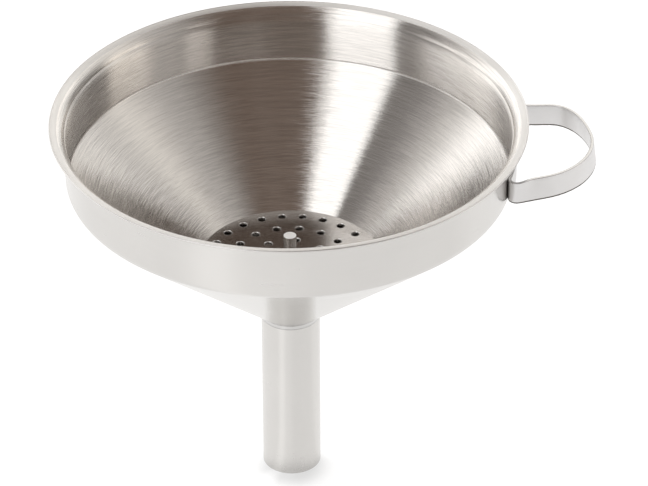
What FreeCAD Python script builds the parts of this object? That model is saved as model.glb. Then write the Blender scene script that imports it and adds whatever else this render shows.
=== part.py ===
import FreeCAD, Part
import math
import os

import Sketcher

# Kitchen funnel of thin stainless sheet with a lift-out strainer.
# Millimetres. The origin is the centre of the spout's outlet, +Z is up along the funnel's axis
# and the handle stands out towards +X.

doc = FreeCAD.newDocument("Funnel")

DIMENSIONS = [
    ("rim_radius", 70.0, "outer edge of the flared lip"),
    ("rim_height", 122.3, "top of the lip above the spout's outlet"),
    ("gauge", 0.6, "sheet thickness of bowl and spout"),
    ("collar_radius", 65.75, "outside of the straight collar"),
    ("cone_angle", 40.75, "slope of the cone above the horizontal, degrees"),
    ("cone_apex", 47.4, "height where the cone's outer surface would meet the axis"),
    ("shoulder_radius", 3.6, "outer bend radius between collar and cone"),
    ("neck_length", 5.0, "straight neck of the cone inside the spout"),
    ("neck_bend", 0.8, "outer bend radius between cone and neck"),
    ("spout_radius", 8.85, "outside of the spout tube"),
    ("outlet_edge", 0.2, "chamfer inside the spout's outlet"),
    ("weld_reach", 1.1, "how far the weld bead spreads over the cone"),
    ("weld_drop", 0.5, "how far the weld bead runs down the spout"),
    ("weld_face", 3.0, "hollow radius of the weld bead's face"),
    ("strap_width", 7.0, "height of the handle strap"),
    ("strap_thickness", 1.0, "thickness of the handle strap"),
    ("strap_edge", 0.3, "rounding of the strap's long edges"),
    ("strap_height", 108.9, "middle of the strap above the outlet"),
    ("bow_radius", 22.4, "middle line of the handle's outer bow"),
    ("bow_x", 67.6, "centre of the bow along X"),
    ("bow_y", 3.6, "centre of the bow along Y"),
    ("rear_leg_angle", 5.25, "slope of the rear leg, degrees"),
    ("rear_leg_offset", 19.7, "distance of the rear leg from the bow's centre"),
    ("rear_corner", 8.0, "bend between the rear leg and the bow"),
    ("front_leg_angle", 17.3, "slope of the front leg, degrees"),
    ("root_bend", 2.0, "bend between each leg and the strap's base"),
    ("strap_gap", 1.5, "gap between the strap's two ends on the collar"),
    ("weld_mark_radius", 1.6, "radius of a spot weld's electrode mark"),
    ("weld_mark_depth", 0.15, "depth of a spot weld's electrode mark"),
    ("weld_mark_angle", 11.0, "bearing of each spot weld from +X, degrees"),
    ("strainer_radius", 27.6, "edge of the strainer disc"),
    ("strainer_gauge", 0.7, "thickness of the strainer disc"),
    ("strainer_gap", 0.15, "clearance between the disc's lower edge and the cone"),
    ("hole_radius", 1.15, "radius of a strainer hole"),
    ("hole_edge", 0.25, "chamfer round the top of each strainer hole"),
    ("hole_overrun", 0.5, "how far a hole's cutting profile passes both faces of the disc"),
    ("hole_ring_outer", 24.25, "radius of the outer ring of holes"),
    ("hole_ring_middle", 17.65, "radius of the middle ring of holes"),
    ("hole_ring_inner", 11.15, "radius of the inner ring of holes"),
    ("hole_bearing", 35.6, "bearing of the first hole of every ring, degrees"),
    ("holes_outer", 24, "holes in the outer ring"),
    ("holes_middle", 16, "holes in the middle ring"),
    ("holes_inner", 8, "holes in the inner ring"),
    ("post_radius", 1.95, "radius of the strainer's lifting post"),
    ("post_length", 9.0, "height of the post above the disc"),
    ("post_edge", 0.2, "chamfer at the top of the post"),
    ("rivet_radius", 1.25, "radius of the post's tail through the disc"),
    ("rivet_head_radius", 2.2, "radius of the peened head under the disc"),
    ("rivet_head_height", 0.9, "height of the peened head under the disc"),
]

sizes = doc.addObject("Spreadsheet::Sheet", "Sizes")
for row, (alias, value, meaning) in enumerate(DIMENSIONS, start=1):
    sizes.set(f"A{row}", meaning)
    sizes.set(f"B{row}", str(value))
    sizes.setAlias(f"B{row}", alias)
doc.recompute()


def cell(alias):
    """The expression that reads one named size."""
    return f"Sizes.{alias}"


def value(expression):
    """The number that an expression on the sheet comes to."""
    result = sizes.evalExpression(expression)
    return float(getattr(result, "Value", result))


def tangent(alias):
    """The tangent of a named angle, as an expression."""
    return f"tan({cell(alias)} * 1deg)"


def cosine(alias):
    """The cosine of a named angle, as an expression."""
    return f"cos({cell(alias)} * 1deg)"


def origin_plane(body, role):
    """One of a body's own base planes."""
    for feature in body.Origin.OriginFeatures:
        if feature.Role == role:
            return feature
    raise ValueError(f"{body.Label} has no {role}")


def new_body(name):
    body = doc.addObject("PartDesign::Body", name)
    body.Label = name
    return body


def new_sketch(body, name, role):
    sketch = body.newObject("Sketcher::SketchObject", name)
    sketch.AttachmentSupport = [(origin_plane(body, role), "")]
    sketch.MapMode = "FlatFace"
    return sketch


def bind(sketch, kind, places, expression):
    """Add a dimension to a sketch and tie it to an expression on the sheet."""
    index = sketch.addConstraint(Sketcher.Constraint(kind, *places, value(expression)))
    sketch.setExpression(f"Constraints[{index}]", expression)


def pin_point(sketch, geometry, end, x_expression, y_expression):
    """Fix one end of a line or arc at a place given by two expressions."""
    if x_expression == "0":
        sketch.addConstraint(Sketcher.Constraint("PointOnObject", geometry, end, -2))
    else:
        bind(sketch, "DistanceX", (-1, 1, geometry, end), x_expression)
    if y_expression == "0":
        sketch.addConstraint(Sketcher.Constraint("PointOnObject", geometry, end, -1))
    else:
        bind(sketch, "DistanceY", (-1, 1, geometry, end), y_expression)


def arc_through(start, finish, radius, bulge):
    """Arc from start to finish; a positive bulge turns to the left on the way."""
    chord = finish - start
    middle = (start + finish) * 0.5
    reach = math.sqrt(max(radius * radius - (chord.Length / 2) ** 2, 0.0))
    side = FreeCAD.Vector(-chord.y, chord.x, 0).normalize()
    centre = middle + side * (reach * bulge)
    first, last = (start, finish) if bulge > 0 else (finish, start)
    angles = [math.atan2(p.y - centre.y, p.x - centre.x) for p in (first, last)]
    circle = Part.Circle(centre, FreeCAD.Vector(0, 0, 1), radius)
    return Part.ArcOfCircle(circle, angles[0], angles[1])


def closed_profile(sketch, corners):
    """Draw a closed outline of lines and arcs.

    Each corner is (x, y, radius, bulge): radius and bulge describe the arc that leaves it,
    and are None where a straight line leaves it. x, y and radius are expressions.
    """
    points = [FreeCAD.Vector(value(x), value(y), 0) for x, y, _, _ in corners]
    edges = []
    for index, (_, _, radius, bulge) in enumerate(corners):
        start = points[index]
        finish = points[(index + 1) % len(points)]
        if radius is None:
            edges.append((sketch.addGeometry(Part.LineSegment(start, finish), False), 1))
        else:
            arc = sketch.addGeometry(arc_through(start, finish, value(radius), bulge), False)
            edges.append((arc, 1 if bulge > 0 else 2))
    for index, (x, y, radius, _) in enumerate(corners):
        edge, start_end = edges[index]
        next_edge, next_start = edges[(index + 1) % len(edges)]
        pin_point(sketch, edge, start_end, x, y)
        join = Sketcher.Constraint("Coincident", edge, 3 - start_end, next_edge, next_start)
        sketch.addConstraint(join)
        if radius is not None:
            bind(sketch, "Radius", (edge,), radius)


def bind_slope(sketch, line, expression):
    """Fix the direction of a line, in degrees from +X, to an expression on the sheet."""
    angle = math.radians(value(expression))
    index = sketch.addConstraint(Sketcher.Constraint("Angle", line, angle))
    sketch.setExpression(f"Constraints[{index}]", f"({expression}) * 1deg")


def revolve(body, sketch, name):
    """Turn a profile all the way round the funnel's axis."""
    feature = body.newObject("PartDesign::Revolution", name)
    feature.Profile = sketch
    feature.ReferenceAxis = (sketch, ["V_Axis"])
    feature.Angle = 360.0
    sketch.Visibility = False
    return feature


# Heights and radii that several sub-parts share, as expressions on the sheet.
BORE = f"({cell('spout_radius')} - {cell('gauge')})"
CONE_RISE = f"({cell('gauge')} / {cosine('cone_angle')})"
HALF_TURN = f"tan((90 - {cell('cone_angle')}) * 0.5deg)"


def cone_outside(radius):
    """Height of the cone's lower, outer surface at a radius."""
    return f"({cell('cone_apex')} + {radius} * {tangent('cone_angle')})"


def cone_inside(radius):
    """Height of the cone's upper, inner surface at a radius."""
    return f"({cone_outside(radius)} + {CONE_RISE})"


def along_cone(radius, length):
    """The radius reached by going a length up the slope from a radius."""
    return f"({radius} + {length} * {cosine('cone_angle')})"


NECK_TANGENT = f"({cell('neck_bend')} * {HALF_TURN})"
SPOUT_TOP = f"({cone_outside(BORE)} - {NECK_TANGENT})"
CONE_FOOT = along_cone(BORE, NECK_TANGENT)


def make_bowl():
    """One spun sheet: flared lip, straight collar, cone and a short neck."""
    body = new_body("bowl")
    sketch = new_sketch(body, "bowl_profile", "XZ_Plane")

    collar_in = f"({cell('collar_radius')} - {cell('gauge')})"
    flare_in = f"({cell('rim_radius')} - {collar_in})"
    flare_out = f"({flare_in} - {cell('gauge')})"
    flare_start = f"({cell('rim_height')} - {flare_in})"
    shoulder_in = f"({cell('shoulder_radius')} - {cell('gauge')})"
    shoulder_tangent = f"({cell('shoulder_radius')} * {HALF_TURN})"
    shoulder_tangent_in = f"({shoulder_in} * {HALF_TURN})"
    cone_top = along_cone(cell("collar_radius"), f"(-{shoulder_tangent})")
    cone_top_in = along_cone(collar_in, f"(-{shoulder_tangent_in})")

    neck_in = f"({BORE} - {cell('gauge')})"
    neck_bend_in = f"({cell('neck_bend')} + {cell('gauge')})"
    neck_tangent_in = f"({neck_bend_in} * {HALF_TURN})"
    cone_foot_in = along_cone(neck_in, neck_tangent_in)
    neck_end = f"({SPOUT_TOP} - {cell('neck_length')})"
    collar_foot = f"{cone_outside(cell('collar_radius'))} + {shoulder_tangent}"

    closed_profile(sketch, [
        (BORE, neck_end, None, None),
        (BORE, SPOUT_TOP, cell("neck_bend"), -1),
        (CONE_FOOT, cone_outside(CONE_FOOT), None, None),
        (cone_top, cone_outside(cone_top), cell("shoulder_radius"), 1),
        (cell("collar_radius"), collar_foot, None, None),
        (cell("collar_radius"), flare_start, flare_out, -1),
        (cell("rim_radius"), f"{cell('rim_height')} - {cell('gauge')}", None, None),
        (cell("rim_radius"), cell("rim_height"), flare_in, 1),
        (collar_in, flare_start, None, None),
        (collar_in, f"{cone_inside(collar_in)} + {shoulder_tangent_in}", shoulder_in, -1),
        (cone_top_in, cone_inside(cone_top_in), None, None),
        (cone_foot_in, cone_inside(cone_foot_in), neck_bend_in, 1),
        (neck_in, f"{cone_inside(neck_in)} - {neck_tangent_in}", None, None),
        (neck_in, neck_end, None, None),
    ])
    revolve(body, sketch, "bowl_shell")
    return body


def make_spout():
    """A straight tube pushed over the neck, with its outlet edge broken inside."""
    body = new_body("spout")
    sketch = new_sketch(body, "spout_profile", "XZ_Plane")
    outside = cell("spout_radius")
    closed_profile(sketch, [
        (f"({BORE} + {cell('outlet_edge')})", "0", None, None),
        (outside, "0", None, None),
        (outside, SPOUT_TOP, None, None),
        (BORE, SPOUT_TOP, None, None),
        (BORE, cell("outlet_edge"), None, None),
    ])
    revolve(body, sketch, "spout_tube")
    return body


def make_spout_weld():
    """The bead that fills the corner between the spout's top edge and the cone's underside."""
    body = new_body("spout_weld")
    sketch = new_sketch(body, "weld_profile", "XZ_Plane")
    toe = f"({cell('spout_radius')} + {cell('weld_reach')})"
    closed_profile(sketch, [
        (BORE, SPOUT_TOP, None, None),
        (cell("spout_radius"), SPOUT_TOP, None, None),
        (cell("spout_radius"), f"({SPOUT_TOP} - {cell('weld_drop')})", cell("weld_face"), -1),
        (toe, cone_outside(toe), None, None),
        (CONE_FOOT, cone_outside(CONE_FOOT), cell("neck_bend"), 1),
    ])
    revolve(body, sketch, "weld_bead")
    return body


# Handle: a flat strap bent into a loop, with its base lying on the collar between the legs.
STRAP_MIDDLE = f"({cell('collar_radius')} + {cell('strap_thickness')} / 2)"


def unit(degrees):
    """The direction at a bearing from +X, level with the rim."""
    return FreeCAD.Vector(math.cos(math.radians(degrees)), math.sin(math.radians(degrees)), 0)


def left_of(direction):
    """The direction a quarter turn to the left of another."""
    return FreeCAD.Vector(-direction.y, direction.x, 0)


def ccw_arc(centre, radius, start, finish):
    """Arc about a centre, anticlockwise from start to finish."""
    angles = [math.atan2(p.y - centre.y, p.x - centre.x) for p in (start, finish)]
    circle = Part.Circle(centre, FreeCAD.Vector(0, 0, 1), radius)
    return Part.ArcOfCircle(circle, angles[0], angles[1])


def touch_on_circle(centre, radius, anchor, direction, forward):
    """Where a line through anchor meets a circle, on its forward or backward side."""
    foot = anchor + direction * ((centre - anchor).dot(direction))
    reach = math.sqrt(radius * radius - (foot - centre).Length ** 2)
    return foot + direction * (reach if forward else -reach)


def make_handle():
    """The strap: its middle line as a chain of tangent arcs and lines, and its section along it."""
    body = new_body("handle_strap")
    path = new_sketch(body, "strap_path", "XY_Plane")
    axis = FreeCAD.Vector(0, 0, 0)
    base = value(STRAP_MIDDLE)
    bow = value(cell("bow_radius"))
    bow_centre = FreeCAD.Vector(value(cell("bow_x")), value(cell("bow_y")), 0)
    root = value(cell("root_bend"))
    corner = value(cell("rear_corner"))

    # Rear leg: runs outwards, sloping towards the middle. Front leg: tangent to the bow.
    rear_way = unit(-value(cell("rear_leg_angle")))
    rear_point = bow_centre + left_of(rear_way) * value(cell("rear_leg_offset"))
    front_way = unit(value(cell("front_leg_angle")))
    bow_end = bow_centre - left_of(front_way) * bow

    # The rear corner lies inside the bow and touches the rear leg.
    corner_line = rear_point - left_of(rear_way) * corner
    corner_centre = touch_on_circle(bow_centre, bow - corner, corner_line, rear_way, True)
    corner_start = corner_centre + left_of(rear_way) * corner
    bow_start = corner_centre + (corner_centre - bow_centre).normalize() * corner

    # Each root bend stands on the outside of the base and touches its leg.
    rear_line = rear_point - left_of(rear_way) * root
    rear_root = touch_on_circle(axis, base + root, rear_line, rear_way, True)
    front_line = bow_end + left_of(front_way) * root
    front_root = touch_on_circle(axis, base + root, front_line, front_way, True)
    rear_leg_start = rear_root + left_of(rear_way) * root
    front_leg_end = front_root - left_of(front_way) * root
    base_rear = FreeCAD.Vector(rear_root).normalize() * base
    base_front = FreeCAD.Vector(front_root).normalize() * base
    gap_turn = value(cell("strap_gap")) / base
    start = FreeCAD.Vector(base, 0, 0)
    finish = FreeCAD.Vector(base * math.cos(gap_turn), -base * math.sin(gap_turn), 0)

    base_first = path.addGeometry(ccw_arc(axis, base, start, base_rear), False)
    bend_rear = path.addGeometry(ccw_arc(rear_root, root, rear_leg_start, base_rear), False)
    leg_rear = path.addGeometry(Part.LineSegment(rear_leg_start, corner_start), False)
    bend_corner = path.addGeometry(ccw_arc(corner_centre, corner, bow_start, corner_start), False)
    bow_arc = path.addGeometry(ccw_arc(bow_centre, bow, bow_end, bow_start), False)
    leg_front = path.addGeometry(Part.LineSegment(bow_end, front_leg_end), False)
    bend_front = path.addGeometry(ccw_arc(front_root, root, base_front, front_leg_end), False)
    base_last = path.addGeometry(ccw_arc(axis, base, base_front, finish), False)

    for first, first_end, second, second_end in (
        (base_first, 2, bend_rear, 2),
        (bend_rear, 1, leg_rear, 1),
        (leg_rear, 2, bend_corner, 2),
        (bend_corner, 1, bow_arc, 2),
        (bow_arc, 1, leg_front, 1),
        (leg_front, 2, bend_front, 2),
        (bend_front, 1, base_last, 1),
    ):
        join = Sketcher.Constraint("Tangent", first, first_end, second, second_end)
        path.addConstraint(join)
    for arc in (base_first, base_last):
        path.addConstraint(Sketcher.Constraint("Coincident", arc, 3, -1, 1))
        bind(path, "Radius", (arc,), STRAP_MIDDLE)
    path.addConstraint(Sketcher.Constraint("PointOnObject", base_first, 1, -1))
    bind(path, "Radius", (bend_rear,), cell("root_bend"))
    bind(path, "Radius", (bend_front,), cell("root_bend"))
    bind(path, "Radius", (bend_corner,), cell("rear_corner"))
    bind(path, "Radius", (bow_arc,), cell("bow_radius"))
    bind(path, "DistanceX", (-1, 1, bow_arc, 3), cell("bow_x"))
    bind(path, "DistanceY", (-1, 1, bow_arc, 3), cell("bow_y"))
    bind(path, "Distance", (bow_arc, 3, leg_rear), cell("rear_leg_offset"))
    bind_slope(path, leg_rear, f"-{cell('rear_leg_angle')}")
    bind_slope(path, leg_front, f"180 + {cell('front_leg_angle')}")
    gap = f"({cell('strap_gap')} / {STRAP_MIDDLE} * 1rad)"
    bind(path, "DistanceY", (-1, 1, base_last, 2), f"-{STRAP_MIDDLE} * sin({gap})")
    path.Visibility = False

    section = new_sketch(body, "strap_section", "XZ_Plane")
    half = f"{cell('strap_width')} / 2"
    inner = cell("collar_radius")
    outer = f"({cell('collar_radius')} + {cell('strap_thickness')})"
    edge = cell("strap_edge")
    closed_profile(section, [
        (f"{inner} + {edge}", f"-{half}", None, None),
        (f"{outer} - {edge}", f"-{half}", edge, 1),
        (outer, f"-{half} + {edge}", None, None),
        (outer, f"{half} - {edge}", edge, 1),
        (f"{outer} - {edge}", half, None, None),
        (f"{inner} + {edge}", half, edge, 1),
        (inner, f"{half} - {edge}", None, None),
        (inner, f"-{half} + {edge}", edge, 1),
    ])
    section.Visibility = False
    doc.recompute()

    strap = body.newObject("PartDesign::AdditivePipe", "strap_bend")
    strap.Profile = section
    strap.Spine = (path, [f"Edge{number}" for number in range(1, 9)])
    strap.Mode = "Standard"

    # Each spot weld leaves a round, shallow electrode mark on the base, inside the loop.
    for name, sign in (("rear_mark", 1), ("front_mark", -1)):
        mark = body.newObject("PartDesign::SubtractiveCylinder", name)
        turn = FreeCAD.Rotation(FreeCAD.Vector(0, 0, 1), sign * value(cell("weld_mark_angle")))
        level = FreeCAD.Rotation(FreeCAD.Vector(0, 1, 0), 90)
        reach = value(f"{outer} - {cell('weld_mark_depth')}")
        mark.Placement = FreeCAD.Placement(turn.multVec(FreeCAD.Vector(reach, 0, 0)), turn * level)
        mark.setExpression("Radius", cell("weld_mark_radius"))
        mark.setExpression("Height", cell("strap_thickness"))
        doc.recompute()
    body.setExpression("Placement.Base.z", cell("strap_height"))
    return body


# Strainer: a flat perforated disc that drops into the cone, and a post to lift it by.
DISC_UNDERSIDE = (
    f"({cone_inside(cell('strainer_radius'))} + {cell('strainer_gap')} / {cosine('cone_angle')})"
)
DISC_TOP = f"({DISC_UNDERSIDE} + {cell('strainer_gauge')})"


def make_strainer_disc():
    """Round plate with a rivet hole in the middle and three rings of chamfered holes."""
    body = new_body("strainer_disc")
    outline = new_sketch(body, "disc_outline", "XY_Plane")
    for radius in ("strainer_radius", "rivet_radius"):
        circle = Part.Circle(FreeCAD.Vector(0, 0, 0), FreeCAD.Vector(0, 0, 1), value(cell(radius)))
        edge = outline.addGeometry(circle, False)
        outline.addConstraint(Sketcher.Constraint("Coincident", edge, 3, -1, 1))
        bind(outline, "Radius", (edge,), cell(radius))
    outline.Visibility = False
    plate = body.newObject("PartDesign::Pad", "disc_plate")
    plate.Profile = outline
    plate.setExpression("Length", cell("strainer_gauge"))
    doc.recompute()

    for ring in ("outer", "middle", "inner"):
        pattern = cut_ring_of_holes(body, ring)
        body.Tip = pattern
        doc.recompute()
    body.setExpression("Placement.Base.z", DISC_UNDERSIDE)
    body.setExpression("Placement.Rotation.Angle", f"{cell('hole_bearing')} * 1deg")
    return body


def cut_ring_of_holes(body, ring):
    """One hole on +X, turned about its own axis with its top edge chamfered, then repeated."""
    middle = cell(f"hole_ring_{ring}")
    wall = f"{middle} + {cell('hole_radius')}"
    mouth = f"({wall} + {cell('hole_edge')})"
    low = f"-{cell('hole_overrun')}"
    high = f"({cell('strainer_gauge')} + {cell('hole_overrun')})"
    sketch = new_sketch(body, f"hole_{ring}_profile", "XZ_Plane")
    closed_profile(sketch, [
        (middle, low, None, None),
        (wall, low, None, None),
        (wall, f"{cell('strainer_gauge')} - {cell('hole_edge')}", None, None),
        (mouth, cell("strainer_gauge"), None, None),
        (mouth, high, None, None),
        (middle, high, None, None),
    ])
    bottom = FreeCAD.Vector(value(middle), value(low), 0)
    top = FreeCAD.Vector(value(middle), value(high), 0)
    axis = sketch.addGeometry(Part.LineSegment(bottom, top), True)
    pin_point(sketch, axis, 1, middle, low)
    pin_point(sketch, axis, 2, middle, high)
    sketch.Visibility = False
    hole = body.newObject("PartDesign::Groove", f"hole_{ring}")
    hole.Profile = sketch
    hole.ReferenceAxis = (sketch, ["Axis0"])
    hole.Angle = 360.0
    doc.recompute()
    pattern = body.newObject("PartDesign::PolarPattern", f"holes_{ring}")
    pattern.Originals = [hole]
    pattern.Axis = (sketch, ["V_Axis"])
    pattern.Angle = 360.0
    pattern.setExpression("Occurrences", cell(f"holes_{ring}"))
    return pattern


def make_strainer_post():
    """Straight pin riveted through the middle of the disc, with a low domed head underneath."""
    body = new_body("strainer_post")
    sketch = new_sketch(body, "post_profile", "XZ_Plane")
    under = f"-{cell('strainer_gauge')}"
    head = cell("rivet_head_radius")
    dome = cell("rivet_head_height")
    post = cell("post_radius")
    closed_profile(sketch, [
        ("0", f"{under} - {dome}", f"({head} * {head} + {dome} * {dome}) / (2 * {dome})", 1),
        (head, under, None, None),
        (cell("rivet_radius"), under, None, None),
        (cell("rivet_radius"), "0", None, None),
        (post, "0", None, None),
        (post, f"{cell('post_length')} - {cell('post_edge')}", None, None),
        (f"{post} - {cell('post_edge')}", cell("post_length"), None, None),
        ("0", cell("post_length"), None, None),
    ])
    revolve(body, sketch, "post_pin")
    body.setExpression("Placement.Base.z", DISC_TOP)
    return body


parts = [
    make_bowl(),
    make_spout(),
    make_spout_weld(),
    make_handle(),
    make_strainer_disc(),
    make_strainer_post(),
]
doc.recompute()

for item in doc.Objects:
    if {"Invalid", "Error"} & set(item.State):
        raise RuntimeError(f"{item.Label} did not compute: {item.State}")
for part in parts:
    shape = part.Shape
    if shape.isNull() or not shape.isValid() or len(shape.Solids) != 1:
        raise RuntimeError(f"{part.Label} is not one valid solid")

os.makedirs("parts", exist_ok=True)
for part in parts:
    part.Shape.exportStep(os.path.join("parts", f"{part.Label}.step"))
    box = part.Shape.optimalBoundingBox()
    print(
        f"{part.Label}: {part.Shape.Volume:.1f} mm3,"
        f" x {box.XMin:.2f}..{box.XMax:.2f}, y {box.YMin:.2f}..{box.YMax:.2f},"
        f" z {box.ZMin:.2f}..{box.ZMax:.2f}"
    )
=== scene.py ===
import math
import random

import bmesh
import bpy
from mathutils import Matrix, Vector
from mathutils.geometry import delaunay_2d_cdt


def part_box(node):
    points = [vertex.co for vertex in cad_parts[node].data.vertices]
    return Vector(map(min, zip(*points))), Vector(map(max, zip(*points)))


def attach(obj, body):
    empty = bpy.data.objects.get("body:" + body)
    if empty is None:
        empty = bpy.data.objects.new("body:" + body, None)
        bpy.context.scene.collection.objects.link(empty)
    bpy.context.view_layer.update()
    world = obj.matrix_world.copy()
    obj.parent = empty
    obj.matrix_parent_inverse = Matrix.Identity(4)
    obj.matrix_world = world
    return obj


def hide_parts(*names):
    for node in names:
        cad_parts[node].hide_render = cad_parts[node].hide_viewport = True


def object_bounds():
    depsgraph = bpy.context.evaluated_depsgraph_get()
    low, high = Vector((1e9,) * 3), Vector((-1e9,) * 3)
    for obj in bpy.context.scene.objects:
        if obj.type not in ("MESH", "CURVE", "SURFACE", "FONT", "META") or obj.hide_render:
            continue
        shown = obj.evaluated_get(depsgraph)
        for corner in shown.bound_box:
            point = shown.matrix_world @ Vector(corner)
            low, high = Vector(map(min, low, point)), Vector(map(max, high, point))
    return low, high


# A stainless steel kitchen funnel with a lift-out strainer, in metres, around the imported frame.

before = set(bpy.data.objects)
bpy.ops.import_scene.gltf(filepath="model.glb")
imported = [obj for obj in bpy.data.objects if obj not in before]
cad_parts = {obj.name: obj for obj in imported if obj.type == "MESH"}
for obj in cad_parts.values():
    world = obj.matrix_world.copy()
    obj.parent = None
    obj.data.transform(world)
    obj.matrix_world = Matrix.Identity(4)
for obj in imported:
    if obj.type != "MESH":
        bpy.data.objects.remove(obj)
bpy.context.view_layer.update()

MM = 0.001
TAU = 2 * math.pi

# Points nearer than this count as one, and the axis is no nearer than this to a place on it.
TINY = 0.001 * MM
NEAR_AXIS = 0.01 * MM

# Steps round the axis of the turned pieces.
BOWL_STEPS = 320
TUBE_STEPS = 128
POST_STEPS = 64

# Sizes of the sheet metal that the nodes' boxes don't tell.
GAUGE = 0.6 * MM
COLLAR_RADIUS = 65.75 * MM
CONE_ANGLE = math.radians(40.75)
SHOULDER_RADIUS = 3.6 * MM
FOLD_INSIDE = 1.4 * MM
NECK_BEND = 0.8 * MM
LIP_EDGE = 0.29 * MM

# Places and sizes read from the frame.
RIM_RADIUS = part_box("bowl")[1].x
RIM_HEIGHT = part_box("bowl")[1].z
NECK_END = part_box("bowl")[0].z
SPOUT_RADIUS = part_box("spout")[1].x
SPOUT_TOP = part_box("spout")[1].z
BORE = SPOUT_RADIUS - GAUGE

# Tangent of half the bend from the cone to an upright wall, and the height at which the cone's
# lower surface would meet the axis.
HALF_TURN = math.tan((math.pi / 2 - CONE_ANGLE) / 2)
CONE_APEX = SPOUT_TOP + NECK_BEND * HALF_TURN - BORE * math.tan(CONE_ANGLE)


# ---------------------------------------------------------------- outlines

def arc(x, z, radius, start, end, steps):
    """Points of an arc about (x, z), from one bearing to another in degrees."""
    turns = [math.radians(start + (end - start) * i / steps) for i in range(steps + 1)]
    return [(x + radius * math.cos(turn), z + radius * math.sin(turn)) for turn in turns]


def run(start, end, steps):
    """Points between two places, without the two ends."""
    return [
        tuple(a + (b - a) * i / steps for a, b in zip(start, end))
        for i in range(1, steps)
    ]


def chained(*stretches):
    """Stretches of points as one line, without doubled points."""
    points = []
    for stretch in stretches:
        for point in stretch:
            if not points or math.dist(point, points[-1]) > TINY:
                points.append(point)
    return points


def joined(*stretches):
    """Stretches of points as one closed outline, without doubled points."""
    points = chained(*stretches)
    if math.dist(points[0], points[-1]) < TINY:
        points.pop()
    return points


def cone_outside(radius):
    """Height of the cone's lower surface at a radius."""
    return CONE_APEX + radius * math.tan(CONE_ANGLE)


def cone_inside(radius):
    """Height of the cone's upper surface at a radius."""
    return cone_outside(radius) + GAUGE / math.cos(CONE_ANGLE)


# ---------------------------------------------------------------- meshes

def new_piece(name, vertices, faces, materials, material_of_face=None):
    """A smooth-shaded mesh object with its materials."""
    mesh = bpy.data.meshes.new(name)
    mesh.from_pydata(vertices, [], faces)
    for material in materials:
        mesh.materials.append(material)
    if material_of_face:
        mesh.polygons.foreach_set("material_index", material_of_face)
    mesh.polygons.foreach_set("use_smooth", [True] * len(mesh.polygons))
    mesh.validate()
    mesh.update()
    piece = bpy.data.objects.new(name, mesh)
    bpy.context.scene.collection.objects.link(piece)
    return piece


def face_outwards(piece, doubles=0.0):
    """Join vertices that share a place, if asked, and turn every face outwards."""
    work = bmesh.new()
    work.from_mesh(piece.data)
    if doubles:
        bmesh.ops.remove_doubles(work, verts=work.verts, dist=doubles)
    bmesh.ops.recalc_face_normals(work, faces=work.faces)
    work.to_mesh(piece.data)
    work.free()


def lathe(name, outline, segments, materials, material_of_stretch=None, shape=None):
    """Turn an outline of (radius, height) points about Z into a closed mesh.

    An outline that starts and ends on the axis gets a single vertex at each end; any
    other outline is closed on itself. material_of_stretch gives the material index of
    the stretch between two points, and without it all is 0. shape moves a vertex given
    as (radius, turn, height).
    """
    count = len(outline)
    capped = outline[0][0] == 0 and outline[-1][0] == 0
    vertices, rings, faces, indices = [], [], [], []
    for radius, height in outline:
        steps = 1 if radius == 0 else segments
        rings.append([len(vertices) + step for step in range(steps)])
        for step in range(steps):
            turn = TAU * step / segments
            if shape:
                vertices.append(shape(radius, turn, height))
            else:
                vertices.append((radius * math.cos(turn), radius * math.sin(turn), height))
    for row in range(count - 1 if capped else count):
        below = (row + 1) % count
        for step in range(segments):
            after = (step + 1) % segments
            corners = [
                rings[row][step % len(rings[row])],
                rings[row][after % len(rings[row])],
                rings[below][after % len(rings[below])],
                rings[below][step % len(rings[below])],
            ]
            faces.append(tuple(dict.fromkeys(corners)))
            indices.append(
                material_of_stretch(outline[row], outline[below]) if material_of_stretch else 0
            )
    piece = new_piece(name, vertices, faces, materials, indices)
    face_outwards(piece)
    return piece


# ---------------------------------------------------------------- shader nodes

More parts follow.
